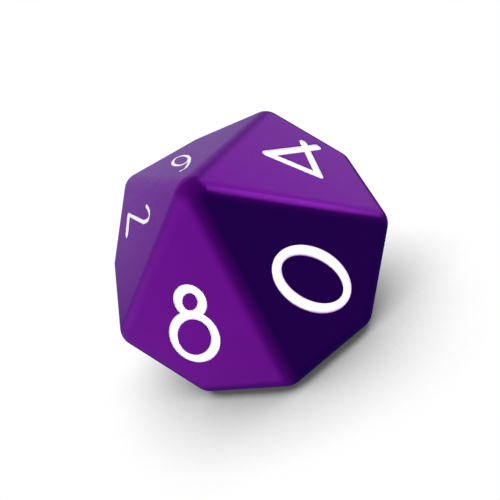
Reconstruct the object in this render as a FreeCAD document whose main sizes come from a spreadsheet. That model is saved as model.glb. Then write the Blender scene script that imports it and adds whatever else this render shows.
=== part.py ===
import FreeCAD, Part
import math
import os
import Sketcher
from FreeCAD import Vector, Rotation, Placement

# Ten-sided die (pentagonal trapezohedron), moulded in one piece, with ten
# engraved numerals that are filled with paint.
#
# Frame: the die rests on the face that carries the 3. The origin is the point of
# that face's plane straight below the centre of the die and +Z is up. The long,
# pointed end of the resting face, at its pole, lies towards +Y.

doc = FreeCAD.newDocument("ten_sided_die")

# --------------------------------------------------------------------------
# Driving dimensions (millimetres and degrees)
# --------------------------------------------------------------------------
DIMENSIONS = [
    ("face_gap", 16.0, "distance between two opposite, parallel faces"),
    ("face_tilt", 46.4, "slope of each kite face against the plane square to the pole axis"),
    ("edge_radius", 1.6, "rounding of all edges, from the mould"),
    ("stroke_width", 0.68, "width of the engraved stroke"),
    ("engrave_depth", 0.45, "depth of the engraving below the face"),
    ("engraver_overrun", 0.5, "how far an engraver stands out above the face"),
    ("paint_depth", 0.37, "thickness of the paint in the engraving"),
    ("numeral_drop", 2.3, "distance of a numeral's middle from the face centre, away from the pole"),
    ("cap_half", 3.07, "half height of a numeral, along the middle of its stroke"),
    ("zero_half_width", 1.68, "half width of the 0, along the middle of its stroke"),
    ("zero_half_height", 3.00, "half height of the 0, along the middle of its stroke"),
    ("eight_small_x", 0.86, "short half axis of the small ring of the 8"),
    ("eight_small_y", 1.10, "long half axis of the small ring of the 8"),
    ("eight_big_x", 1.56, "short half axis of the big ring of the 8"),
    ("eight_big_y", 2.08, "long half axis of the big ring of the 8"),
    ("eight_lean", 22.0, "lean of the rings of the 8 to the right"),
    ("bowl_radius", 1.82, "radius of the ring of the 9"),
    ("tail_radius", 4.68, "radius of the tail of the 9"),
    ("six_bowl_x", 0.60, "short half axis of the ring of the narrow 6"),
    ("six_bowl_y", 2.30, "long half axis of the ring of the narrow 6"),
    ("six_side_stroke", 0.25, "width of the upright strokes of the narrow 6"),
    ("six_end_stroke", 0.42, "width of the 6's ring at its top and foot"),
    ("six_tail_radius", 11.38, "radius of the tail of the narrow 6"),
    ("six_hook_radius", 0.26, "radius of the hook at the end of the 6's tail"),
    ("two_lead_radius", 2.20, "radius of the lead-in of the narrow 2"),
    ("two_hook_radius", 0.26, "radius of the hook of the narrow 2"),
    ("two_shoulder_radius", 3.00, "radius of the shoulder of the narrow 2"),
    ("two_stroke", 0.30, "width of the curved part and the diagonal of the narrow 2"),
    ("two_base_stroke", 0.90, "width of the foot of the narrow 2"),
    ("four_stroke", 0.68, "width of the strokes of the 4"),
    ("three_top_radius", 1.45, "radius of the upper arc of the 3"),
    ("three_low_radius", 1.62, "radius of the lower arc of the 3"),
    ("five_radius", 1.97, "radius of the bowl of the 5"),
]
sheet = doc.addObject("Spreadsheet::Sheet", "Sizes")
for row, (alias, value, meaning) in enumerate(DIMENSIONS, start=1):
    sheet.set("A%d" % row, meaning)
    sheet.set("B%d" % row, str(value))
    sheet.setAlias("B%d" % row, alias)
doc.recompute()


def size(alias):
    return float(getattr(sheet, alias))


GAP = size("face_gap")
TOP = size("cap_half")
UP = Vector(0, 0, 1)

# --------------------------------------------------------------------------
# Faces: laid out about the pole axis, then turned onto the resting face
# --------------------------------------------------------------------------
FACE_PAIRS = 5
REST_FACE = 5

# numeral on each face; opposite faces add up to nine, even numerals share a pole
NUMERAL_ON_FACE = [6, 2, 8, 0, 4,
                   3, 7, 1, 9, 5]

# numeral: (shift to its right, shift towards the pole, anticlockwise turn), from
# the common place numeral_drop below the face's middle; the others don't shift
NUMERAL_SHIFT = {
    0: (-0.08, 0.03, 7.0),
    2: (-1.50, 1.85, 0.0),
    4: (0.40, 0.05, 0.0),
    6: (0.69, 3.19, 12.8),
    8: (-0.31, 0.44, 0.0),
}


def face_rotation(face):
    """Turn the XY plane into a face, with +Y towards that face's pole.

    Faces 0 to 4 meet at the upper pole and faces 5 to 9 at the lower pole.
    Face 5 + k is parallel to face k, on the other side of the die.
    """
    turn = Rotation(UP, 360.0 / FACE_PAIRS * (face % FACE_PAIRS))
    rotation = turn.multiply(Rotation(Vector(1, 0, 0), size("face_tilt")))
    if face >= FACE_PAIRS:
        # a half turn about the face's own X axis puts the normal outwards on the
        # far side and points +Y at the lower pole
        rotation = rotation.multiply(Rotation(Vector(1, 0, 0), 180.0))
    return rotation


# the half turn brings the resting face's normal to -Z and keeps its +Y
to_rest = Rotation(Vector(0, 1, 0), 180.0).multiply(face_rotation(REST_FACE).inverted())
DIE_PLACEMENT = Placement(Vector(0, 0, GAP / 2.0), to_rest)


def numeral_placement(face, height):
    """Place a numeral on its face, in a plane `height` above the die's centre."""
    rotation = face_rotation(face)
    across, along, turn = NUMERAL_SHIFT.get(NUMERAL_ON_FACE[face], (0.0, 0.0, 0.0))
    middle = Vector(across, along - size("numeral_drop"), height)
    turned = rotation.multiply(Rotation(UP, turn))
    return DIE_PLACEMENT.multiply(Placement(rotation.multVec(middle), turned))


# --------------------------------------------------------------------------
# Blank
# --------------------------------------------------------------------------
def make_sharp_blank():
    """Overlap of five flat slabs, one for each pair of parallel faces."""
    slabs = []
    for pair in range(FACE_PAIRS):
        slab = doc.addObject("Part::Box", "face_pair_%d" % (pair + 1))
        slab.setExpression("Length", "Sizes.face_gap * 4")
        slab.setExpression("Width", "Sizes.face_gap * 4")
        slab.setExpression("Height", "Sizes.face_gap")
        rotation = face_rotation(pair)
        corner = Vector(-2.0 * GAP, -2.0 * GAP, -0.5 * GAP)
        slab.Placement = DIE_PLACEMENT.multiply(Placement(rotation.multVec(corner), rotation))
        slabs.append(slab)
    sharp = doc.addObject("Part::MultiCommon", "sharp_blank")
    sharp.Shapes = slabs
    doc.recompute()
    return sharp


def make_blank():
    """The trapezohedron with all its edges rounded."""
    body = doc.addObject("PartDesign::Body", "rounded_blank")
    body.BaseFeature = make_sharp_blank()
    doc.recompute()
    base = body.Group[0]
    edges = ["Edge%d" % (i + 1) for i in range(len(base.Shape.Edges))]
    rounding = body.newObject("PartDesign::Fillet", "edge_rounding")
    rounding.Base = (base, edges)
    rounding.setExpression("Radius", "Sizes.edge_radius")
    body.Tip = rounding
    doc.recompute()
    return body


# --------------------------------------------------------------------------
# Strokes: each is one sketch and one pad. `depth` is the pad's expression and
# `stroke` is the alias of the stroke's width.
# --------------------------------------------------------------------------
def polar(centre, radius, degrees):
    """The point at a distance and an angle from a centre."""
    angle = math.radians(degrees)
    return (centre[0] + radius * math.cos(angle), centre[1] + radius * math.sin(angle))


def new_sketch(body, name):
    sketch = body.newObject("Sketcher::SketchObject", body.Name + "_" + name)
    plane = next(f for f in body.Origin.OriginFeatures if f.Role == "XY_Plane")
    sketch.AttachmentSupport = [(plane, "")]
    sketch.MapMode = "FlatFace"
    return sketch


def pad_sketch(body, sketch, depth):
    pad = body.newObject("PartDesign::Pad", sketch.Name + "_pad")
    pad.Profile = sketch
    pad.setExpression("Length", depth)
    sketch.Visibility = False
    body.Tip = pad


def add_line(sketch, start, end):
    return sketch.addGeometry(Part.LineSegment(start, end), False)


def add_arc(sketch, centre, radius, first, last):
    """Arc between two angles in radians."""
    return sketch.addGeometry(
        Part.ArcOfCircle(Part.Circle(centre, UP, radius), first, last), False)


def tangent(sketch, cap, cap_end, side, side_end):
    sketch.addConstraint(Sketcher.Constraint("Tangent", cap, cap_end, side, side_end))


def hold_centre(sketch, geo, axes="XY"):
    """Fix an arc's centre where it was drawn, along the given axes."""
    centre = sketch.getPoint(geo, 3)
    for axis in axes:
        distance = centre.x if axis == "X" else centre.y
        sketch.addConstraint(
            Sketcher.Constraint("Distance" + axis, -1, 1, geo, 3, distance))


def drive_width(sketch, cap, stroke):
    """Bind the radius of a round end to half the stroke's width."""
    width = sketch.addConstraint(Sketcher.Constraint("Radius", cap, size(stroke) / 2.0))
    sketch.setExpression("Constraints[%d]" % width, "Sizes.%s / 2" % stroke)


def ring(body, depth, name, centre, half_x, half_y, lean=0.0,
         side="stroke_width", end="stroke_width"):
    """Closed ring between two ellipses, half a stroke outside and inside the half
    axes; its upright axis leans to the right by `lean` degrees."""
    sketch = new_sketch(body, name)
    middle = Vector(centre[0], centre[1], 0)
    tilt = math.radians(-lean)
    for sign in (1.0, -1.0):
        radius_x = half_x + sign * size(side) / 2.0
        radius_y = half_y + sign * size(end) / 2.0
        if abs(radius_x - radius_y) < 1e-6:
            geo = sketch.addGeometry(Part.Circle(middle, UP, radius_x), False)
            sketch.addConstraint(Sketcher.Constraint("Radius", geo, radius_x))
        else:
            long_end = middle + Vector(-math.sin(tilt), math.cos(tilt), 0) * radius_y
            short_end = middle - Vector(math.cos(tilt), math.sin(tilt), 0) * radius_x
            sketch.addGeometry(Part.Ellipse(long_end, short_end, middle), False)
    pad_sketch(body, sketch, depth)


def bar(body, depth, name, start, end, stroke="stroke_width"):
    """Straight stroke with two round ends."""
    half = size(stroke) / 2.0
    start = Vector(start[0], start[1], 0)
    end = Vector(end[0], end[1], 0)
    along = (end - start).normalize()
    side = Vector(-along.y, along.x, 0)
    angle = math.atan2(side.y, side.x)
    sketch = new_sketch(body, name)
    # left and right as seen from the start towards the end
    left = add_line(sketch, start + side * half, end + side * half)
    right = add_line(sketch, end - side * half, start - side * half)
    start_cap = add_arc(sketch, start, half, angle, angle + math.pi)
    end_cap = add_arc(sketch, end, half, angle + math.pi, angle + 2.0 * math.pi)
    tangent(sketch, start_cap, 1, left, 1)
    tangent(sketch, start_cap, 2, right, 2)
    tangent(sketch, end_cap, 1, right, 1)
    tangent(sketch, end_cap, 2, left, 2)
    hold_centre(sketch, start_cap)
    hold_centre(sketch, end_cap)
    drive_width(sketch, start_cap, stroke)
    pad_sketch(body, sketch, depth)


def arc(body, depth, name, centre, radius, first, last, stroke="stroke_width"):
    """Curved stroke with round ends, from angle `first` anticlockwise to `last`."""
    half = size(stroke) / 2.0
    first_point = Vector(*polar(centre, radius, first), 0)
    last_point = Vector(*polar(centre, radius, last), 0)
    first = math.radians(first)
    last = math.radians(last)
    middle = Vector(centre[0], centre[1], 0)
    sketch = new_sketch(body, name)
    outer = add_arc(sketch, middle, radius + half, first, last)
    inner = add_arc(sketch, middle, radius - half, first, last)
    first_cap = add_arc(sketch, first_point, half, first + math.pi, first + 2.0 * math.pi)
    last_cap = add_arc(sketch, last_point, half, last, last + math.pi)
    sketch.addConstraint(Sketcher.Constraint("Coincident", outer, 3, inner, 3))
    tangent(sketch, first_cap, 2, outer, 1)
    tangent(sketch, first_cap, 1, inner, 1)
    tangent(sketch, last_cap, 1, outer, 2)
    tangent(sketch, last_cap, 2, inner, 2)
    hold_centre(sketch, outer)
    hold_centre(sketch, first_cap)
    # one coordinate is enough to place the last end on the arc
    hold_centre(sketch, last_cap, "X" if abs(math.sin(last)) > abs(math.cos(last)) else "Y")
    drive_width(sketch, first_cap, stroke)
    pad_sketch(body, sketch, depth)


# --------------------------------------------------------------------------
# Numerals: the origin is the numeral's middle and +Y is up
# --------------------------------------------------------------------------
def draw_zero(body, depth):
    ring(body, depth, "ring", (0, 0), size("zero_half_width"), size("zero_half_height"))


def draw_one(body, depth):
    stem_x = 0.35
    flag_width = 1.30
    flag_drop = 1.15
    head = (stem_x, TOP)
    bar(body, depth, "stem", (stem_x, -TOP), head)
    bar(body, depth, "flag", head, (stem_x - flag_width, TOP - flag_drop))


def draw_two(body, depth):
    """Narrow, with a sloping foot: lead-in, hook and shoulder are tangent arcs, and
    the diagonal leaves the shoulder as its tangent."""
    lead_radius = size("two_lead_radius")
    hook_radius = size("two_hook_radius")
    shoulder_radius = size("two_shoulder_radius")
    lead_start, lead_end = 148.0, 120.0
    shoulder_end = -27.9
    hook = (0.86, 2.35)
    diagonal_foot = -2.95
    lead = polar(hook, hook_radius - lead_radius, lead_end)
    shoulder = (hook[0] + hook_radius - shoulder_radius, hook[1])
    arc(body, depth, "lead", lead, lead_radius, lead_end, lead_start, "two_stroke")
    arc(body, depth, "hook", hook, hook_radius, 0.0, lead_end, "two_stroke")
    arc(body, depth, "shoulder", shoulder, shoulder_radius, shoulder_end, 0.0, "two_stroke")
    leave = polar(shoulder, shoulder_radius, shoulder_end)
    corner_x = leave[0] + (leave[1] - diagonal_foot) * math.tan(math.radians(shoulder_end))
    bar(body, depth, "diagonal", leave, (corner_x, diagonal_foot), "two_stroke")
    bar(body, depth, "base", (-1.03, -3.02), (0.10, -3.31), "two_base_stroke")


def draw_three(body, depth):
    upper = size("three_top_radius")
    lower = size("three_low_radius")
    arc(body, depth, "upper", (0, TOP - upper), upper, -90.0, 150.0)
    arc(body, depth, "lower", (0, -TOP + lower), lower, -150.0, 90.0)


def draw_four(body, depth):
    head = (1.01, 2.40)
    foot = (0.90, -3.42)
    left = (-1.99, -0.33)
    right = (1.62, -2.42)
    bar(body, depth, "stem", head, foot, "four_stroke")
    bar(body, depth, "diagonal", head, left, "four_stroke")
    bar(body, depth, "crossbar", left, right, "four_stroke")


def draw_five(body, depth):
    radius = size("five_radius")
    bowl = (-0.1, -TOP + radius)
    knee_angle = 130.0
    corner = (-1.15, TOP)
    arc(body, depth, "bowl", bowl, radius, -150.0, knee_angle)
    bar(body, depth, "back", polar(bowl, radius, knee_angle), corner)
    bar(body, depth, "top", corner, (1.5, TOP))


def draw_six(body, depth):
    """Narrow, on the top of the die: a tall ring, a tail and a small hook."""
    half_x = size("six_bowl_x")
    tail_radius = size("six_tail_radius")
    hook_radius = size("six_hook_radius")
    bowl = (0, -1.0)
    tail_end = 180.0 - 21.12
    tail = (tail_radius - half_x, bowl[1])
    hook = polar(tail, tail_radius - hook_radius, tail_end)
    ring(body, depth, "bowl", bowl, half_x, size("six_bowl_y"),
         side="six_side_stroke", end="six_end_stroke")
    arc(body, depth, "tail", tail, tail_radius, tail_end, 180.0, "six_side_stroke")
    arc(body, depth, "hook", hook, hook_radius, 50.0, tail_end, "six_side_stroke")


def draw_seven(body, depth):
    half_width = 1.85
    foot_x = -0.75
    bar(body, depth, "top", (-half_width, TOP), (half_width, TOP))
    bar(body, depth, "leg", (half_width, TOP), (foot_x, -TOP))


def draw_eight(body, depth):
    lean = size("eight_lean")
    ring(body, depth, "small", (-0.05, 1.96), size("eight_small_x"), size("eight_small_y"), lean)
    ring(body, depth, "big", (0.0, -1.11), size("eight_big_x"), size("eight_big_y"), lean)


def draw_nine(body, depth):
    bowl_radius = size("bowl_radius")
    tail_radius = size("tail_radius")
    bowl_y = TOP - bowl_radius
    tail_foot = -(TOP - 0.07)
    tail_end = math.degrees(math.asin((tail_foot - bowl_y) / tail_radius))
    ring(body, depth, "bowl", (0, bowl_y), bowl_radius, bowl_radius)
    arc(body, depth, "tail", (bowl_radius - tail_radius, bowl_y), tail_radius, tail_end, 0.0)


DRAW_NUMERAL = [draw_zero, draw_one, draw_two, draw_three, draw_four,
                draw_five, draw_six, draw_seven, draw_eight, draw_nine]


def make_numeral(face, prefix, depth):
    """A face's numeral, raised by `depth` from the floor of its engraving."""
    digit = NUMERAL_ON_FACE[face]
    body = doc.addObject("PartDesign::Body", "%s_%d" % (prefix, digit))
    DRAW_NUMERAL[digit](body, depth)
    body.Placement = numeral_placement(face, GAP / 2.0 - size("engrave_depth"))
    return body


# --------------------------------------------------------------------------
# Die body and paint
# --------------------------------------------------------------------------
blank = make_blank()

engravers = []
paints = []
for face in range(2 * FACE_PAIRS):
    engravers.append(
        make_numeral(face, "engraver", "Sizes.engrave_depth + Sizes.engraver_overrun"))
    paint = make_numeral(face, "numeral", "Sizes.paint_depth")
    paint.Label = "numeral_%d" % NUMERAL_ON_FACE[face]
    paints.append(paint)
doc.recompute()

engraving = doc.addObject("Part::MultiFuse", "all_engravers")
engraving.Shapes = engravers
doc.recompute()

die_body = doc.addObject("Part::Cut", "engraved_body")
die_body.Base = blank
die_body.Tool = engraving
die_body.Label = "die_body"
doc.recompute()

# --------------------------------------------------------------------------
# Export: one STEP file for each piece, once every object is sound
# --------------------------------------------------------------------------
LEAST_ENGRAVED_VOLUME = 10.0

for obj in doc.Objects:
    if "Invalid" in obj.State or "Error" in obj.State:
        raise RuntimeError("object %s failed: %s" % (obj.Name, obj.State))

if blank.Shape.Volume - die_body.Shape.Volume < LEAST_ENGRAVED_VOLUME:
    raise RuntimeError("the engraving removed nothing")

pieces = [die_body] + paints
for piece in pieces:
    shape = piece.Shape
    if shape.isNull() or not shape.isValid() or len(shape.Solids) != 1:
        raise RuntimeError("piece %s isn't one valid solid" % piece.Label)

os.makedirs("parts", exist_ok=True)
for piece in pieces:
    piece.Shape.exportStep("parts/%s.step" % piece.Label)
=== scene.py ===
"""A ten-sided die in glossy pearl plastic with engraved, paint-filled numerals.

It rests on face 5 at z = 0, its middle above the origin, so face 0 lies level on top. Every face
has its own frame: x sideways, y towards the pole where its five faces meet, z outwards.
Sizes are in millimetres and are scaled to metres as each mesh is built.
"""

import math

import bpy
import numpy as np
from mathutils import Matrix, Vector
from mathutils.geometry import delaunay_2d_cdt


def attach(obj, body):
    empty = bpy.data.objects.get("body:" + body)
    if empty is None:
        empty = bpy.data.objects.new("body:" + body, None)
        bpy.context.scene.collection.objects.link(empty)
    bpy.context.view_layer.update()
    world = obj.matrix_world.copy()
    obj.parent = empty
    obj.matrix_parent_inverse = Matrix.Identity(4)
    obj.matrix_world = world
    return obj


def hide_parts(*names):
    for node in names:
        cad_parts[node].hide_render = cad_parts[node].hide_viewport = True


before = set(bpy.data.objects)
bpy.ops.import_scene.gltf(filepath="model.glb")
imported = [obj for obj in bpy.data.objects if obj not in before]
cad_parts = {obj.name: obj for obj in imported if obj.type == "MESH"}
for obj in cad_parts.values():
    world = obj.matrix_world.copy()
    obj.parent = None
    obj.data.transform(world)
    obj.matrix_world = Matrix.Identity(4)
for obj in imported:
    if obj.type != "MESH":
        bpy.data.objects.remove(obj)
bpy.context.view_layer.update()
scene = bpy.context.scene

MM = 0.001

# Die
HALF_GAP = 8.0            # middle of the die to a face plane
TILT = 46.4               # degrees between a face's normal and the pole axis
EDGE_R = 1.6              # radius of the rolled edges and ball corners
REST_FACE = 5
ACROSS = 18               # steps round a rolled edge
ALONG = 22                # steps along an edge
SEED_SPACING = 0.72       # ball corner's inner points, as a share of its outline's step
ROW_PITCH = 0.866         # row spacing of those points, as a share of their spacing
SEED_CLEARANCE = 0.75     # least distance to the outline, as a share of their spacing

# Engraving
STROKE = 0.34             # half the width of a numeral's stroke
DEPTH = 0.45
DROP = 2.3                # numeral's middle below the face's origin
SHOULDER = 0.07           # radius of the softened lip
NARROW_SHOULDERS = {2: 0.05, 6: 0.03}
LIP = [0.0, 22.5, 45.0, 67.5, 90.0]   # degrees round the lip, from the face to the wall
NUMERAL_ON_FACE = [6, 2, 8, 0, 4, 3, 7, 1, 9, 5]
# numeral: sideways, towards the pole, turn in degrees
NUMERAL_SHIFT = {
    0: (-0.08, 0.03, 7.0),
    2: (-1.50, 1.85, 0.0),
    4: (0.40, 0.05, 0.0),
    6: (0.69, 3.19, 12.8),
    8: (-0.31, 0.44, 0.0),
}

# Tracing of the outlines
GRID_STEP = 0.05          # grid on which an outline is first found
GRID_MARGIN = 1.0
OUTLINE_STEP = 0.085      # spacing of the stations along an outline
SETTLE_ROUNDS = 4
SHARP_TURN = 14           # degrees; a tighter inner corner gets a station of its own

# Paint: depth below the face at the rim and at the bottom of the dish
PAINT_DEPTHS = (0.045, 0.145)
NARROW_PAINT_DEPTHS = {2: (0.02, 0.05), 6: (0.0, 0.02)}   # narrow strokes are nearly flush
RUNGS = [1.0, 0.94, 0.86, 0.74, 0.6]  # shares of the half width, from the rim inwards

# Wear value given to each part, which on the paint also sets its painted rim shade; a rolled edge
# runs from 0 to 1 and back
WEAR_CORNER = 1.0
WEAR_LIP = 0.35
PAINT_RIM_WEAR_AND_SHADE = 1.0
PAINT_SLOPE_WEAR_AND_SHADE = 0.8    # upper limit inside the rim


# ---------------------------------------------------------------------------------------------
# Face planes and sharp corners
# ---------------------------------------------------------------------------------------------
def rotation(axis, degrees):
    """Rotation matrix about axis 0, 1 or 2."""
    cos, sin = math.cos(math.radians(degrees)), math.sin(math.radians(degrees))
    first, second = (axis + 1) % 3, (axis + 2) % 3
    matrix = np.eye(3)
    matrix[first, first] = matrix[second, second] = cos
    matrix[first, second] = -sin
    matrix[second, first] = sin
    return matrix


def face_rotation(face):
    """Face frame with the poles on z; faces 5 to 9 lie opposite faces 0 to 4."""
    matrix = rotation(2, 72.0 * (face % 5)) @ rotation(0, TILT)
    return matrix @ rotation(0, 180.0) if face >= 5 else matrix


TO_REST = rotation(1, 180.0) @ face_rotation(REST_FACE).T
FACE_R = [TO_REST @ face_rotation(face) for face in range(10)]
FACE_N = [matrix[:, 2] for matrix in FACE_R]
CENTRE = np.array([0.0, 0.0, HALF_GAP])


def corner_of(*faces):
    """Where three face planes meet, measured from the die's middle."""
    return np.linalg.solve(np.array([FACE_N[k] for k in faces]), np.full(3, HALF_GAP))


def kite(face):
    """Sharp corners of a face: pole, left side, tip, right side."""
    normal = FACE_N[face]
    own = [k for k in range(10) if k // 5 == face // 5 and k != face]
    other = [k for k in range(10) if k // 5 != face // 5]
    # the neighbours that share an edge are the two closest in direction
    far_pair = sorted(other, key=lambda k: -normal @ FACE_N[k])[:2]
    own_pair = sorted(own, key=lambda k: -normal @ FACE_N[k])[:2]
    sides = []
    for k in own_pair:
        facing = max(far_pair, key=lambda j: FACE_N[k] @ FACE_N[j])
        sides.append(corner_of(face, k, facing))
    sides.sort(key=lambda p: (FACE_R[face].T @ p)[0])
    return [corner_of(face, own[0], own[1]), sides[0], corner_of(face, *far_pair), sides[1]]


SHARP = []                # sharp corners, from the die's middle


def sharp_id(corner):
    for k, known in enumerate(SHARP):
        if np.linalg.norm(corner - known) < 1e-6:
            return k
    SHARP.append(corner)
    return len(SHARP) - 1


FACE_CORNERS = [[sharp_id(corner) for corner in kite(face)] for face in range(10)]
# middles of the ball corners
INNER = [corner * (HALF_GAP - EDGE_R) / HALF_GAP for corner in SHARP]


def face_edges(face):
    corners = FACE_CORNERS[face]
    return [(corners[k], corners[(k + 1) % 4]) for k in range(4)]


# ---------------------------------------------------------------------------------------------
# Numerals as strokes: rows of x, y, half width along a centreline
# ---------------------------------------------------------------------------------------------
def arc(x, y, radius, start, end, half=STROKE):
    """Arc between two angles in degrees, in steps of at most two degrees."""
    count = max(2, int(math.ceil(abs(end - start) / 2.0)))
    angle = np.radians(np.linspace(start, end, count + 1))
    return np.stack([x + radius * np.cos(angle), y + radius * np.sin(angle),
                     np.full(count + 1, half)], 1)


def ring(x, y, radius_x, radius_y, lean=0.0, side=STROKE, end=STROKE):
    """Ellipse leaning clockwise; side and end are its half widths across x and across y."""
    angle = np.radians(np.linspace(0, 360, 181))
    cos, sin = np.cos(angle), np.sin(angle)
    half = ((side * radius_y * cos * cos + end * radius_x * sin * sin)
            / np.sqrt((radius_y * cos) ** 2 + (radius_x * sin) ** 2))
    turn = math.radians(-lean)
    flat_x, flat_y = radius_x * cos, radius_y * sin
    return np.stack([x + flat_x * math.cos(turn) - flat_y * math.sin(turn),
                     y + flat_x * math.sin(turn) + flat_y * math.cos(turn), half], 1)


def line(*points, half=STROKE):
    return np.array([(x, y, half) for x, y in points], float)


CAP = 3.07                # numeral's middle to the centreline of a top or bottom stroke
TWO_HALF = 0.15           # half width of the 2's thin strokes
THREE_TOP, THREE_LOW = 1.45, 1.62     # bowl radii
FIVE_BOWL = 1.97
SIX_HALF = 0.125          # half width of the 6's thin strokes
SIX_BOWL_X, SIX_BOWL_Y = 0.60, 2.30   # half axes of the bowl
SIX_MIDDLE = -1.0         # height of the bowl's middle
SIX_TAIL = 11.38          # radius of the long stem
SIX_SWEEP = 21.12         # degrees the stem turns
SIX_HOOK = 0.26           # radius of the hook on top of the stem
SIX_TAIL_X = SIX_TAIL - SIX_BOWL_X
SIX_HOOK_X = SIX_TAIL_X - (SIX_TAIL - SIX_HOOK) * math.cos(math.radians(SIX_SWEEP))
SIX_HOOK_Y = SIX_MIDDLE + (SIX_TAIL - SIX_HOOK) * math.sin(math.radians(SIX_SWEEP))
NINE_BOWL = 1.82
NINE_TAIL = 4.68
NINE_LIFT = 0.07          # tail's end above the foot of the numeral
NINE_SWEEP = math.degrees(math.asin((CAP - NINE_LIFT + CAP - NINE_BOWL) / NINE_TAIL))

STROKES = {
    0: [ring(0, 0, 1.68, 3.0)],
    1: [line((0.35, -CAP), (0.35, CAP), (-0.95, CAP - 1.15))],
    2: [arc(1.83, 0.670, 2.20, 148, 120, TWO_HALF),
        arc(0.86, 2.35, 0.26, 120, 0, TWO_HALF),
        arc(-1.88, 2.35, 3.00, 0, -27.9, TWO_HALF),
        line((0.7713, 0.9462), (-1.2913, -2.95), half=TWO_HALF),
        line((-1.03, -3.02), (0.10, -3.31), half=0.45)],
    3: [arc(0, CAP - THREE_TOP, THREE_TOP, 150, -90),
        arc(0, THREE_LOW - CAP, THREE_LOW, 90, -150)],
    4: [line((0.90, -3.42), (1.01, 2.40), (-1.99, -0.33), (1.62, -2.42))],
    5: [arc(-0.1, FIVE_BOWL - CAP, FIVE_BOWL, -150, 130),
        line((-1.3663, 0.4091), (-1.15, CAP), (1.5, CAP))],
    6: [ring(0, SIX_MIDDLE, SIX_BOWL_X, SIX_BOWL_Y, side=SIX_HALF, end=0.21),
        arc(SIX_TAIL_X, SIX_MIDDLE, SIX_TAIL, 180, 180 - SIX_SWEEP, SIX_HALF),
        arc(SIX_HOOK_X, SIX_HOOK_Y, SIX_HOOK, 180 - SIX_SWEEP, 50, SIX_HALF)],
    7: [line((-1.85, CAP), (1.85, CAP), (-0.75, -CAP))],
    8: [ring(-0.05, 1.96, 0.86, 1.10, lean=22.0), ring(0, -1.11, 1.56, 2.08, lean=22.0)],
    9: [ring(0, CAP - NINE_BOWL, NINE_BOWL, NINE_BOWL),
        arc(NINE_BOWL - NINE_TAIL, CAP - NINE_BOWL, NINE_TAIL, -NINE_SWEEP, 0)],
}


# ---------------------------------------------------------------------------------------------
# Outlines round the strokes
# ---------------------------------------------------------------------------------------------
def segments(digit):
    starts = np.concatenate([stroke[:-1] for stroke in STROKES[digit]])
    ends = np.concatenate([stroke[1:] for stroke in STROKES[digit]])
    return starts, ends


def nearest(points, segs):
    """For every point: distance to the strokes' outline (negative inside), the nearest
    centreline point and the half width there."""
    starts, ends = segs
    along = ends[:, :2] - starts[:, :2]
    found = []
    for chunk in np.array_split(points, max(1, len(points) // 2000)):
        offset = chunk[:, None, :] - starts[None, :, :2]
        t = np.clip((offset * along[None]).sum(2) / (along * along).sum(1)[None], 0, 1)
        centre = starts[None, :, :2] + t[..., None] * along[None]
        half = starts[None, :, 2] + t * (ends[:, 2] - starts[:, 2])[None]
        gap = np.linalg.norm(chunk[:, None, :] - centre, axis=2) - half
        best = gap.argmin(1)
        row = np.arange(len(chunk))
        found.append((gap[row, best], centre[row, best], half[row, best]))
    return tuple(np.concatenate([part[k] for part in found]) for k in range(3))


def cell_links(field):
    """Which grid edges an outline joins where it crosses the cells of a signed field.
    An edge is named by its kind, h along x or v along y, and its first grid point."""
    links = {}

    def join(first, second):
        links.setdefault(first, []).append(second)
        links.setdefault(second, []).append(first)

    inside = field < 0
    count = (inside[:-1, :-1].astype(int) + inside[1:, :-1]
             + inside[1:, 1:] + inside[:-1, 1:])
    for i, j in zip(*np.nonzero((count > 0) & (count < 4))):
        i, j = int(i), int(j)
        state = [inside[i, j], inside[i + 1, j], inside[i + 1, j + 1], inside[i, j + 1]]
        keys = [("h", i, j), ("v", i + 1, j), ("h", i, j + 1), ("v", i, j)]
        cut = [keys[k] for k in range(4) if state[k] != state[(k + 1) % 4]]
        if len(cut) == 2:
            join(*cut)
        elif (field[i:i + 2, j:j + 2].mean() < 0) == state[0]:
            join(keys[0], keys[1])
            join(keys[2], keys[3])
        else:
            join(keys[3], keys[0])
            join(keys[1], keys[2])
    return links


def level_loops(segs, level):
    """Closed outlines at a distance of level outside the strokes."""
    low = np.minimum(segs[0].min(0), segs[1].min(0))[:2] - GRID_MARGIN
    high = np.maximum(segs[0].max(0), segs[1].max(0))[:2] + GRID_MARGIN
    count_x, count_y = (np.ceil((high - low) / GRID_STEP)).astype(int) + 1
    grid_x = low[0] + GRID_STEP * np.arange(count_x)
    grid_y = low[1] + GRID_STEP * np.arange(count_y)
    points = np.stack(np.meshgrid(grid_x, grid_y, indexing="ij"), 2).reshape(-1, 2)
    field = nearest(points, segs)[0].reshape(count_x, count_y) - level
    field[field == 0] = 1e-9
    links = cell_links(field)

    def crossing(key):
        kind, i, j = key
        i2, j2 = (i + 1, j) if kind == "h" else (i, j + 1)
        t = field[i, j] / (field[i, j] - field[i2, j2])
        return (grid_x[i] + t * (grid_x[i2] - grid_x[i]),
                grid_y[j] + t * (grid_y[j2] - grid_y[j]))

    loops, seen = [], set()
    for start in sorted(links):
        if start in seen:
            continue
        loop, before, here = [], None, start
        while here not in seen:
            seen.add(here)
            loop.append(crossing(here))
            ahead = [key for key in links[here] if key != before]
            before, here = here, ahead[0]
        loops.append(np.array(loop))
    return [loop for loop in loops if len(loop) > 8]


def settle(points, segs, level):
    """Move points exactly onto the outline."""
    for _ in range(SETTLE_ROUNDS):
        gap, centre, half = nearest(points, segs)
        outward = (points - centre) / (gap + half)[:, None]
        points = centre + outward * (half + level)[:, None]
    return points, centre, outward, half


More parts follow.
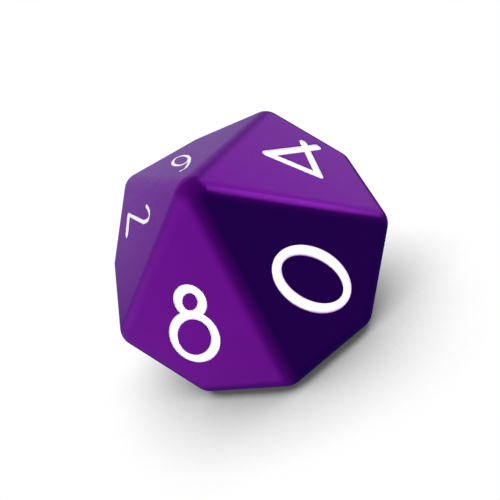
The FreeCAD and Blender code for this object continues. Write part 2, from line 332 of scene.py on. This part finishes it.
def outline_stations(digit, level):
    """Stations of every outline, counterclockwise round the strokes. A station holds one
    (centreline point, outward direction, half width), or two at a sharp inner corner."""
    segs = segments(digit)
    outlines = []
    for loop in level_loops(segs, level):
        closed = np.vstack([loop, loop[:1]])
        run = np.r_[0, np.cumsum(np.linalg.norm(np.diff(closed, axis=0), axis=1))]
        count = int(round(run[-1] / OUTLINE_STEP))
        at = np.arange(count) * run[-1] / count
        points = np.stack([np.interp(at, run, closed[:, k]) for k in (0, 1)], 1)
        points, centre, outward, half = settle(points, segs, level)
        ahead = np.roll(points, -1, 0) - points
        left = np.stack([-ahead[:, 1], ahead[:, 0]], 1)
        if np.median((left * outward).sum(1)) > 0:
            centre, outward, half = centre[::-1], outward[::-1], half[::-1]
        stations = []
        for j in range(count):
            k = (j + 1) % count
            here = (centre[j], outward[j], half[j])
            stations.append((here,))
            cross = outward[j][0] * outward[k][1] - outward[j][1] * outward[k][0]
            folded = cross < 0 and outward[j] @ outward[k] < 0
            if cross < -math.sin(math.radians(SHARP_TURN)) or folded:
                stations.append((here, (centre[k], outward[k], half[k])))
        outlines.append(stations)
    return outlines


SHOULDERS = {digit: NARROW_SHOULDERS.get(digit, SHOULDER) for digit in range(10)}
OUTLINES = {digit: outline_stations(digit, SHOULDERS[digit]) for digit in range(10)}


def numeral_ring(digit, stations, level=0.0, share=1.0):
    """Points and outward directions of one outline in the face's plane: share of the half
    width, plus level, from the centreline."""
    points, outward = [], []
    for station in stations:
        centre, out, half = station[0]
        if len(station) == 1:
            points.append(centre + out * (half * share + level))
            outward.append(out)
        else:
            # where the two sides of the inner corner meet
            centre2, out2, half2 = station[1]
            reach = [out @ centre + half * share + level,
                     out2 @ centre2 + half2 * share + level]
            points.append(np.linalg.solve(np.array([out, out2]), np.array(reach)))
            between = out + out2
            outward.append(between / np.linalg.norm(between))
    sideways, poleward, turn = NUMERAL_SHIFT.get(digit, (0.0, 0.0, 0.0))
    turned = rotation(2, turn)[:2, :2]
    return (np.array(points) @ turned.T + np.array([sideways, poleward - DROP]),
            np.array(outward) @ turned.T)


# ---------------------------------------------------------------------------------------------
# Mesh helpers
# ---------------------------------------------------------------------------------------------
def winding(points, loops):
    """Signed turns of the loops about every point."""
    total = np.zeros(len(points))
    for loop in loops:
        after = np.roll(loop, -1, 0)
        ax = loop[None, :, 0] - points[:, None, 0]
        ay = loop[None, :, 1] - points[:, None, 1]
        bx = after[None, :, 0] - points[:, None, 0]
        by = after[None, :, 1] - points[:, None, 1]
        total += np.arctan2(ax * by - ay * bx, ax * bx + ay * by).sum(1)
    return np.rint(total / (2 * math.pi)).astype(int)


def fill(loops, wanted=lambda turns: turns != 0, extra=np.empty((0, 2))):
    """Counterclockwise triangles between closed loops, in the regions whose winding number
    is wanted. Indices run through the loops in order, then the extra points."""
    points = np.vstack(loops + [extra])
    edges, base = [], 0
    for loop in loops:
        count = len(loop)
        edges += [(base + k, base + (k + 1) % count) for k in range(count)]
        base += count
    _, _, faces, origins, _, _ = delaunay_2d_cdt(
        [Vector(p) for p in points], edges, [], 0, 1e-9)
    source = []
    for origin in origins:
        assert len(origin) == 1, "a loop crosses itself"
        source.append(origin[0])
    triangles = [tuple(source[k] for k in face) for face in faces]

    walls = {frozenset(edge) for edge in edges}
    beside = {}
    for t, (p, q, r) in enumerate(triangles):
        for edge in ((p, q), (q, r), (r, p)):
            beside.setdefault(frozenset(edge), []).append(t)
    neighbours = [[] for _ in triangles]
    for edge, pair in beside.items():
        if len(pair) == 2 and edge not in walls:
            neighbours[pair[0]].append(pair[1])
            neighbours[pair[1]].append(pair[0])

    corners = points[np.array(triangles)]
    side1, side2 = corners[:, 1] - corners[:, 0], corners[:, 2] - corners[:, 0]
    area = side1[:, 0] * side2[:, 1] - side1[:, 1] * side2[:, 0]
    kept, seen = [], [False] * len(triangles)
    for t in np.argsort(-np.abs(area)):
        if seen[t]:
            continue
        # a region between walls is kept or left out whole, judged by its largest triangle
        region, todo = [], [int(t)]
        seen[t] = True
        while todo:
            k = todo.pop()
            region.append(k)
            for j in neighbours[k]:
                if not seen[j]:
                    seen[j] = True
                    todo.append(j)
        if abs(area[t]) > 1e-9 and wanted(winding(corners[t].mean(0)[None], loops)[0]):
            kept += [triangles[k] if area[t] > 0 else triangles[k][::-1] for k in region]
    return kept


class Shell:
    """A mesh with a normal for every corner of every face, and a value per point for wear, which
    on the paint also sets its painted rim shade.
    """

    def __init__(self):
        self.points, self.wear, self.faces, self.normals, self.keys = [], [], [], [], {}

    def point(self, place, wear=0.0, key=None):
        """Add a point; one with a known key is shared."""
        if key is not None and key in self.keys:
            return self.keys[key]
        self.points.append(np.asarray(place, float))
        self.wear.append(wear)
        if key is not None:
            self.keys[key] = len(self.points) - 1
        return len(self.points) - 1

    def row(self, rotation_of_face, ring_points, depth, wear):
        """Add points at a depth below a face."""
        return [self.point(CENTRE + rotation_of_face @ np.array([x, y, HALF_GAP - depth]), wear)
                for x, y in ring_points]

    def face(self, ids, normals):
        self.faces.append(tuple(int(k) for k in ids))
        self.normals += [np.asarray(normal, float) for normal in normals]

    def band(self, upper, upper_normals, lower, lower_normals):
        """Quads between two closed rows of points."""
        for j in range(len(upper)):
            k = (j + 1) % len(upper)
            self.face((upper[j], upper[k], lower[k], lower[j]),
                      (upper_normals[j], upper_normals[k], lower_normals[k], lower_normals[j]))

    def flat(self, triangles, ids, normal):
        for triangle in triangles:
            self.face([ids[k] for k in triangle], [normal] * 3)

    def build(self, name):
        mesh = bpy.data.meshes.new(name)
        mesh.from_pydata([tuple(p * MM) for p in self.points], [], self.faces)
        mesh.validate()
        assert len(mesh.polygons) == len(self.faces)
        layer = mesh.attributes.new("wear", "FLOAT", "POINT")
        layer.data.foreach_set("value", np.array(self.wear, np.float32))
        mesh.polygons.foreach_set("use_smooth", [True] * len(mesh.polygons))
        mesh.update()
        mesh.normals_split_custom_set([tuple(n / np.linalg.norm(n)) for n in self.normals])
        mesh.update()
        obj = bpy.data.objects.new(name, mesh)
        scene.collection.objects.link(obj)
        return obj


def ring_normals(face_matrix, outward, lean, rise):
    """Normals with a share lean along the outward directions and rise off the face."""
    return [face_matrix @ np.array([lean * out[0], lean * out[1], rise]) for out in outward]


# ---------------------------------------------------------------------------------------------
# The moulded body: rolled edges, ball corners, flat kites with engraved numerals
# ---------------------------------------------------------------------------------------------
def slerp(first, second, t):
    angle = math.acos(max(-1.0, min(1.0, float(first @ second))))
    return (math.sin((1 - t) * angle) * first + math.sin(t * angle) * second) / math.sin(angle)


def strip_key(edge, a, b, face_a, face_b, m, n):
    """Key that lets a rolled edge share its border points with its neighbours."""
    if n in (0, ACROSS):
        face = face_a if n == 0 else face_b
        if m in (0, ALONG):
            return ("corner", a if m == 0 else b, face)
        return ("side", edge, face, m)
    if m in (0, ALONG):
        return ("arc", edge, a if m == 0 else b, n)
    return ("strip", edge, m, n)


def roll_edges(body):
    """Rolled edges. Returns their long sides by (edge, face) as (first corner, ids), and
    their end arcs by (edge, corner) as (first face, second face, ids)."""
    users_of = {}
    for face in range(10):
        for a, b in face_edges(face):
            users_of.setdefault(frozenset((a, b)), []).append((face, a, b))
    assert len(users_of) == 20 and all(len(users) == 2 for users in users_of.values())

    sides, arcs = {}, {}
    for edge, users in users_of.items():
        (face_a, a, b), (face_b, _, _) = users
        normals = [slerp(FACE_N[face_a], FACE_N[face_b], n / ACROSS)
                   for n in range(ACROSS + 1)]
        grid = np.zeros((ALONG + 1, ACROSS + 1), int)
        for m in range(ALONG + 1):
            axis_point = INNER[a] + (INNER[b] - INNER[a]) * m / ALONG
            for n in range(ACROSS + 1):
                grid[m, n] = body.point(CENTRE + axis_point + EDGE_R * normals[n],
                                        math.sin(math.pi * n / ACROSS),
                                        strip_key(edge, a, b, face_a, face_b, m, n))
        for m in range(ALONG):
            for n in range(ACROSS):
                body.face((grid[m, n], grid[m, n + 1], grid[m + 1, n + 1], grid[m + 1, n]),
                          (normals[n], normals[n + 1], normals[n + 1], normals[n]))
        sides[(edge, face_a)] = (a, list(grid[:, 0]))
        sides[(edge, face_b)] = (a, list(grid[:, ACROSS]))
        arcs[(edge, a)] = (face_a, face_b, list(grid[0]))
        arcs[(edge, b)] = (face_a, face_b, list(grid[ALONG]))
    return sides, arcs


def corner_outline(corner, arcs):
    """Point ids round a ball corner, from the end arcs of its rolled edges."""
    around = {}
    for (_, end), (face_a, face_b, ids) in arcs.items():
        if end == corner:
            around[(face_a, face_b)] = ids
            around[(face_b, face_a)] = ids[::-1]
    start = min(pair[0] for pair in around)
    outline, here, before = [], start, None
    while True:
        following = min(pair[1] for pair in around if pair[0] == here and pair[1] != before)
        outline += around[(here, following)][:-1]
        before, here = here, following
        if here == start:
            return outline


def cap_corner(body, corner, arcs):
    """Ball corner, triangulated on a stereographic map of the sphere."""
    ids = corner_outline(corner, arcs)
    middle = CENTRE + INNER[corner]
    pole = SHARP[corner] / np.linalg.norm(SHARP[corner])
    side = np.cross(pole, [0.3, 0.5, 0.8])
    side /= np.linalg.norm(side)
    up = np.cross(pole, side)
    units = np.array([(body.points[k] - middle) / EDGE_R for k in ids])
    flat = np.stack([units @ side, units @ up], 1) / (1 + units @ pole)[:, None]
    area = (flat[:, 0] * np.roll(flat[:, 1], -1) - flat[:, 1] * np.roll(flat[:, 0], -1)).sum()
    if area < 0:
        ids, units, flat = ids[::-1], units[::-1], flat[::-1].copy()

    # inner points in staggered rows
    gap = SEED_SPACING * np.linalg.norm(np.diff(flat, axis=0), axis=1).mean()
    low, high = flat.min(0), flat.max(0)
    seeds = np.array([
        (low[0] + (q + 0.5 * (r % 2)) * gap, low[1] + r * gap * ROW_PITCH)
        for r in range(int((high[1] - low[1]) / (gap * ROW_PITCH)) + 2)
        for q in range(int((high[0] - low[0]) / gap) + 2)])
    inside = winding(seeds, [flat]) != 0
    clear = np.array([np.linalg.norm(flat - seed, axis=1).min() > SEED_CLEARANCE * gap
                      for seed in seeds])
    seeds = seeds[inside & clear]

    triangles = fill([flat], extra=seeds)
    normals = list(units)
    for x, y in seeds:
        square = x * x + y * y
        unit = (side * 2 * x + up * 2 * y + pole * (1 - square)) / (1 + square)
        ids.append(body.point(middle + EDGE_R * unit, WEAR_CORNER))
        normals.append(unit)
    for triangle in triangles:
        body.face([ids[k] for k in triangle], [normals[k] for k in triangle])


def engrave_face(body, face, sides):
    """Flat kite with its numeral: lip, wall and floor."""
    matrix = FACE_R[face]
    normal = matrix[:, 2]
    digit = NUMERAL_ON_FACE[face]
    shoulder = SHOULDERS[digit]
    ids = []
    for a, b in face_edges(face):
        first, side = sides[(frozenset((a, b)), face)]
        ids += (side if first == a else side[::-1])[:-1]
    loops = [np.array([(matrix.T @ (body.points[k] - CENTRE))[:2] for k in ids])]
    floor_loops, floor_ids = [], []
    for stations in OUTLINES[digit]:
        last = None
        for degrees in LIP:
            sin, cos = math.sin(math.radians(degrees)), math.cos(math.radians(degrees))
            points, outward = numeral_ring(digit, stations, level=shoulder * (1 - sin))
            row = body.row(matrix, points, shoulder * (1 - cos), WEAR_LIP)
            normals = ring_normals(matrix, outward, -sin, cos)
            if last is None:
                loops.append(points)
                ids += row
            else:
                body.band(last, last_normals, row, normals)
            last, last_normals = row, normals
        points, _ = numeral_ring(digit, stations)
        row = body.row(matrix, points, DEPTH, 0.0)
        body.band(last, last_normals, row, last_normals)
        floor_loops.append(points)
        floor_ids += row
    # one turn is the flat face; the strokes have two
    body.flat(fill(loops, lambda turns: turns == 1), ids, normal)
    body.flat(fill(floor_loops), floor_ids, normal)


def build_body():
    body = Shell()
    sides, arcs = roll_edges(body)
    for corner in range(len(SHARP)):
        cap_corner(body, corner, arcs)
    for face in range(10):
        engrave_face(body, face, sides)
    obj = body.build("die_shell")
    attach(obj, "root")
    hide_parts("die_body")
    return obj


# ---------------------------------------------------------------------------------------------
# The paint in each numeral: a shallow dish that climbs the engraving's wall
# ---------------------------------------------------------------------------------------------
def dish(climb, digit):
    """Depth and slope of the paint; climb runs from 0 at the bottom to 1 at the rim."""
    rim, low = NARROW_PAINT_DEPTHS.get(digit, PAINT_DEPTHS)
    depth = low - (low - rim) * climb ** 2
    slope = (low - rim) * 2 * climb / ((1 - RUNGS[-1]) * STROKE)
    return depth, slope


def build_paint(face):
    matrix = FACE_R[face]
    normal = matrix[:, 2]
    digit = NUMERAL_ON_FACE[face]
    paint = Shell()
    top_loops, top_ids, low_loops, low_ids = [], [], [], []
    for stations in OUTLINES[digit]:
        last = None
        for share in RUNGS:
            climb = (share - RUNGS[-1]) / (1 - RUNGS[-1])
            depth, slope = dish(climb, digit)
            # wear value of this rung, which also weights the painted rim shade: full at the rim,
            # less further in
            wear = PAINT_RIM_WEAR_AND_SHADE if share == 1.0 else climb * PAINT_SLOPE_WEAR_AND_SHADE
            points, outward = numeral_ring(digit, stations, share=share)
            row = paint.row(matrix, points, depth, wear)
            normals = ring_normals(matrix, outward, -slope, 1.0)
            if last is None:
                # outer side, from the rim down to the engraving's floor
                low = paint.row(matrix, points, DEPTH, 0.0)
                out = ring_normals(matrix, outward, 1.0, 0.0)
                for j in range(len(row)):
                    k = (j + 1) % len(row)
                    paint.face((row[k], row[j], low[j], low[k]), (out[k], out[j], out[j], out[k]))
                low_loops.append(points)
                low_ids += low
            else:
                paint.band(last, last_normals, row, normals)
            last, last_normals = row, normals
        top_loops.append(points)
        top_ids += last
    paint.flat(fill(top_loops), top_ids, normal)
    paint.flat([triangle[::-1] for triangle in fill(low_loops)], low_ids, -normal)
    obj = paint.build("paint_%d" % digit)
    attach(obj, "root")
    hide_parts("numeral_%d" % digit)
    return obj


die = build_body()
paints = [build_paint(face) for face in range(10)]


# ---------------------------------------------------------------------------------------------
# Materials
# ---------------------------------------------------------------------------------------------
class Nodes:
    """Short calls for building the node tree of a material or world."""

    def __init__(self, owner):
        owner.use_nodes = True
        self.tree = owner.node_tree
        self.tree.nodes.clear()

    def add(self, kind, inputs=None, **settings):
        """Add a node; an input takes a value or another node's output."""
        node = self.tree.nodes.new(kind)
        for name, setting in settings.items():
            setattr(node, name, setting)
        for key, value in (inputs or {}).items():
            if isinstance(value, bpy.types.NodeSocket):
                self.tree.links.new(value, node.inputs[key])
            else:
                node.inputs[key].default_value = value
        return node

    def math(self, operation, a, b):
        return self.add("ShaderNodeMath", {0: a, 1: b}, operation=operation).outputs[0]

    def vector(self, operation, inputs, output="Vector"):
        return self.add("ShaderNodeVectorMath", inputs, operation=operation).outputs[output]

    def millimetres(self):
        """Object coordinates in millimetres."""
        coordinates = self.add("ShaderNodeTexCoord").outputs["Object"]
        return self.vector("SCALE", {0: coordinates, "Scale": 1000.0})

    def stretched(self, vector, turn, scale):
        return self.add("ShaderNodeMapping", {
            "Vector": vector, "Rotation": turn, "Scale": scale}).outputs[0]

    def noise(self, vector, scale, detail, roughness, distortion=0.0):
        return self.add("ShaderNodeTexNoise", {
            "Vector": vector, "Scale": scale, "Detail": detail, "Roughness": roughness,
            "Distortion": distortion}).outputs["Fac"]

    def remap(self, value, source, target=(0.0, 1.0), smooth=False):
        return self.add(
            "ShaderNodeMapRange",
            {0: value, 1: source[0], 2: source[1], 3: target[0], 4: target[1]},
            clamp=True, interpolation_type="SMOOTHSTEP" if smooth else "LINEAR").outputs[0]

    def mix(self, share, first, second):
        return self.add("ShaderNodeMix", {0: share, 6: first, 7: second},
                        data_type="RGBA").outputs[2]

    def attribute(self, name):
        return self.add("ShaderNodeAttribute", attribute_name=name).outputs["Fac"]

    def surface(self, shader, kind="ShaderNodeOutputMaterial"):
        self.add(kind, {"Surface": shader.outputs[0]})

    def principled(self, colour, roughness, height, bump_distance, ior, specular, metallic=0.0):
        """Principled surface with a bump; bump_distance is in metres."""
        bump = self.add("ShaderNodeBump", {
            "Strength": 0.5, "Distance": bump_distance, "Height": height})
        self.surface(self.add("ShaderNodeBsdfPrincipled", {
            "Base Color": colour, "Roughness": roughness, "Normal": bump.outputs[0],
            "IOR": ior, "Specular IOR Level": specular, "Metallic": metallic}))


PEARL = 0.5               # share of pearl pigment in the plastic
BODY_COLOUR = (0.362, 0.0097, 0.566, 1.0)
BODY_DEEP = (0.345, 0.0090, 0.541, 1.0)
BODY_WORN = (0.400, 0.0200, 0.600, 1.0)

PAINT_WHITE = (0.93, 0.93, 0.92, 1.0)
PAINT_CLOUD = (0.90, 0.90, 0.895, 1.0)
PAINT_THIN = (0.52, 0.36, 0.62, 1.0)  # the plastic's tint through thin paint
# painted shade: the grey the paint takes at its rim, where the engraving's wall would shade it
PAINT_RIM_SHADE = (0.47, 0.43, 0.49, 1.0)


def body_material():
    material = bpy.data.materials.new("moulded_gloss_plastic")
    g = Nodes(material)
    mm = g.millimetres()
    wear = g.attribute("wear")
    # broad flow marks in the moulding, a finer mottle and a fine grain
    flow = g.noise(mm, scale=0.22, detail=2.0, roughness=0.45, distortion=0.6)
    mottle = g.noise(mm, scale=1.6, detail=4.0, roughness=0.6)
    grain = g.noise(mm, scale=9.0, detail=3.0, roughness=0.55)
    # handling marks: hair-fine scratches in two directions
    along_a = g.stretched(mm, turn=(0.5, 0.9, 0.4), scale=(0.35, 9.0, 9.0))
    along_b = g.stretched(mm, turn=(-0.7, 0.3, 1.5), scale=(0.3, 11.0, 11.0))
    noise_a = g.noise(along_a, scale=1.0, detail=2.0, roughness=0.5)
    noise_b = g.noise(along_b, scale=1.0, detail=2.0, roughness=0.5)
    hair = g.math("MAXIMUM", g.remap(noise_a, source=(0.66, 0.74), smooth=True),
                  g.remap(noise_b, source=(0.67, 0.75), smooth=True))
    # rubbed edges: a patchy band on the rolled edges and corners
    patch = g.remap(g.noise(mm, scale=0.9, detail=4.0, roughness=0.62),
                    source=(0.42, 0.66), smooth=True)
    rub = g.math("MULTIPLY", g.remap(wear, source=(0.75, 1.0), smooth=True), patch)

    # weights of the marks in the colour
    tone = g.math("ADD", g.math("MULTIPLY", flow, 0.65), g.math("MULTIPLY", mottle, 0.35))
    deep = g.remap(tone, source=(0.32, 0.62), target=(1.0, 0.0), smooth=True)
    colour = g.mix(deep, BODY_COLOUR, BODY_DEEP)
    colour = g.mix(g.math("MULTIPLY", rub, 0.30), colour, BODY_WORN)
    colour = g.mix(g.math("MULTIPLY", hair, 0.06), colour, BODY_WORN)

    # rubbing and scratches dull the gloss
    roughness = g.remap(mottle, source=(0.3, 0.7), target=(0.16, 0.21))
    roughness = g.math("ADD", roughness, g.math("MULTIPLY", rub, 0.07))
    roughness = g.math("ADD", roughness, g.math("MULTIPLY", hair, 0.10))

    # relief: mostly flow, with scratches cut in
    height = g.math("ADD", g.math("MULTIPLY", flow, 3.0), g.math("MULTIPLY", grain, 0.05))
    height = g.math("SUBTRACT", height, g.math("MULTIPLY", hair, 0.10))
    g.principled(colour, roughness, height, bump_distance=0.00001, ior=1.46, specular=0.25,
                 metallic=PEARL)
    return material


def paint_material():
    material = bpy.data.materials.new("numeral_infill_paint")
    g = Nodes(material)
    mm = g.millimetres()
    wear = g.attribute("wear")
    cloud = g.noise(mm, scale=1.1, detail=3.0, roughness=0.55)
    brush = g.noise(mm, scale=4.5, detail=4.0, roughness=0.6)
    grain = g.noise(mm, scale=16.0, detail=3.0, roughness=0.6)
    # the paint thins in patches towards its rim
    thin = g.math("MULTIPLY", g.remap(wear, source=(0.55, 1.0), smooth=True),
                  g.remap(brush, source=(0.40, 0.70), target=(0.10, 0.45), smooth=True))
    colour = g.mix(g.remap(cloud, source=(0.3, 0.7), smooth=True), PAINT_WHITE, PAINT_CLOUD)
    colour = g.mix(g.math("MULTIPLY", thin, 0.22), colour, PAINT_THIN)
    # painted shade: the paint greys towards its rim, where the engraving's wall would shade it
    colour = g.mix(g.remap(wear, source=(0.0, 1.0), target=(0.0, 0.9)), colour, PAINT_RIM_SHADE)
    roughness = g.remap(brush, source=(0.3, 0.7), target=(0.50, 0.62))
    # relief: brush marks over a weaker grain
    height = g.math("ADD", g.math("MULTIPLY", brush, 1.0), g.math("MULTIPLY", grain, 0.35))
    g.principled(colour, roughness, height, bump_distance=0.000012, ior=1.45, specular=0.3)
    return material


die.data.materials.append(body_material())
white = paint_material()
for paint_obj in paints:
    paint_obj.data.materials.append(white)

# ---------------------------------------------------------------------------------------------
# Studio: pale floor, soft light, camera
# ---------------------------------------------------------------------------------------------
# name, direction towards the light, level, spread in degrees, objects it lights
SUNS = [
    ("body_right_back", (0.60, 0.35, 0.72), 0.45, 20, [die]),
    ("body_left", (-0.88, -0.40, 0.18), 0.55, 20, [die]),
    ("body_back", (-0.40, 0.90, 0.20), 0.35, 20, [die]),
    ("numeral_left", (-0.88, -0.44, 0.18), 0.28, 20, paints),
    ("numeral_right_back", (0.60, 0.35, 0.72), 0.75, 20, paints),
    ("numeral_back", (-0.40, 0.90, 0.20), 0.9, 20, paints),
    ("numeral_fill", (-0.10, -0.95, 0.28), 1.18, 20, paints),
    ("numeral_low_right", (0.65, -0.15, -0.74), 0.85, 30, paints),
    ("numeral_low_left", (-0.62, 0.35, -0.70), 0.85, 30, paints),
]

# the surroundings, as reflections, diffuse light and the camera see them
GLOW_BASE = (0.02, 0.02, 0.12)
DIFFUSE_SKY = (0.03, 0.03, 0.07, 1)
CAMERA_SKY = (1, 1, 1, 1)
# soft boxes: direction towards the box, outer and inner half angle in degrees, level
GLOWS = [
    ((-0.85, -0.30, 0.00), 60, 10, (0.30, 0.26, 0.32)),
    ((0.80, 0.42, 0.42), 40, 10, (0.55, 0.48, 0.60)),
    ((-0.30, 0.85, 0.35), 50, 10, (0.25, 0.21, 0.28)),
    ((0.95, -0.06, 0.30), 18, 5, (0.90, 0.85, 0.95)),
]

FLOOR_HALF = 1.0          # metres
FLOOR_Z = -2e-5           # metres

CAMERA_LENS = 30.96
CAMERA_RIGHT = (0.902490, -0.069235, -0.425110)
CAMERA_UP = (0.416889, 0.388446, 0.821774)
CAMERA_BACK = (0.108237, -0.918867, 0.379432)
CAMERA_PLACE = (0.004342036, -0.031726143, 0.020382035)   # metres


def add_sun(name, towards, level, spread, receivers):
    """A sun that lights only its receivers and shows in no reflection."""
    data = bpy.data.lights.new(name, "SUN")
    data.energy = math.pi * level
    data.angle = math.radians(spread)
    obj = bpy.data.objects.new(name, data)
    scene.collection.objects.link(obj)
    obj.rotation_mode = "QUATERNION"
    obj.rotation_quaternion = Vector(towards).to_track_quat("Z", "Y")
    obj.location = Vector(towards).normalized() * 0.5
    obj.visible_glossy = False
    obj.visible_camera = False
    group = bpy.data.collections.new(name + "_receivers")
    for receiver in receivers:
        group.objects.link(receiver)
    obj.light_linking.receiver_collection = group


def studio_world():
    world = bpy.data.worlds.new("studio")
    scene.world = world
    g = Nodes(world)
    world.cycles.sampling_method = "NONE"
    path = g.add("ShaderNodeLightPath")
    toward = g.add("ShaderNodeTexCoord").outputs["Generated"]
    total = GLOW_BASE
    for direction, outer, inner, level in GLOWS:
        facing = g.vector("DOT_PRODUCT", {0: toward, 1: tuple(Vector(direction).normalized())},
                          output="Value")
        limits = (math.cos(math.radians(outer)), math.cos(math.radians(inner)))
        share = g.remap(facing, source=limits, smooth=True)
        glow = g.vector("SCALE", {0: level, "Scale": share})
        total = g.vector("ADD", {0: glow, 1: total})
    glossy, diffuse, camera = [g.add("ShaderNodeBackground", {"Color": colour}).outputs[0]
                               for colour in (total, DIFFUSE_SKY, CAMERA_SKY)]
    lighting = g.add("ShaderNodeMixShader", {
        0: path.outputs["Is Diffuse Ray"], 1: glossy, 2: diffuse})
    g.surface(g.add("ShaderNodeMixShader", {
        0: path.outputs["Is Camera Ray"], 1: lighting.outputs[0], 2: camera}),
        "ShaderNodeOutputWorld")


def floor_material():
    """White emission with a painted contact shadow: it darkens by ambient occlusion where the die
    stands close.
    """
    material = bpy.data.materials.new("pale_floor")
    g = Nodes(material)
    occlusion = g.add("ShaderNodeAmbientOcclusion", {"Distance": 0.011}, samples=16)
    shade = g.remap(occlusion.outputs["AO"], source=(0.30, 0.88), target=(0.08, 1.0))
    colour = g.mix(shade, (0, 0, 0, 1), (1, 1, 1, 1))
    g.surface(g.add("ShaderNodeEmission", {"Color": colour}))
    return material


def studio_floor():
    """Floor seen only by the camera."""
    mesh = bpy.data.meshes.new("studio_floor")
    corners = [(x * FLOOR_HALF, y * FLOOR_HALF, FLOOR_Z)
               for x, y in ((-1, -1), (1, -1), (1, 1), (-1, 1))]
    mesh.from_pydata(corners, [], [(0, 1, 2, 3)])
    obj = bpy.data.objects.new("studio_floor", mesh)
    scene.collection.objects.link(obj)
    mesh.materials.append(floor_material())
    obj.visible_diffuse = False
    obj.visible_glossy = False
    obj.visible_transmission = False
    obj.visible_shadow = False


def add_camera():
    data = bpy.data.cameras.new("camera")
    obj = bpy.data.objects.new("camera", data)
    scene.collection.objects.link(obj)
    data.sensor_width = 36.0
    data.lens = CAMERA_LENS
    data.clip_start = 0.0005
    data.clip_end = 10.0
    rows = list(zip(CAMERA_RIGHT, CAMERA_UP, CAMERA_BACK, CAMERA_PLACE))
    obj.matrix_world = Matrix(rows + [(0, 0, 0, 1)])
    scene.camera = obj


scene.view_settings.view_transform = "Standard"
scene.view_settings.look = "None"
for sun in SUNS:
    add_sun(*sun)
studio_world()
studio_floor()
add_camera()
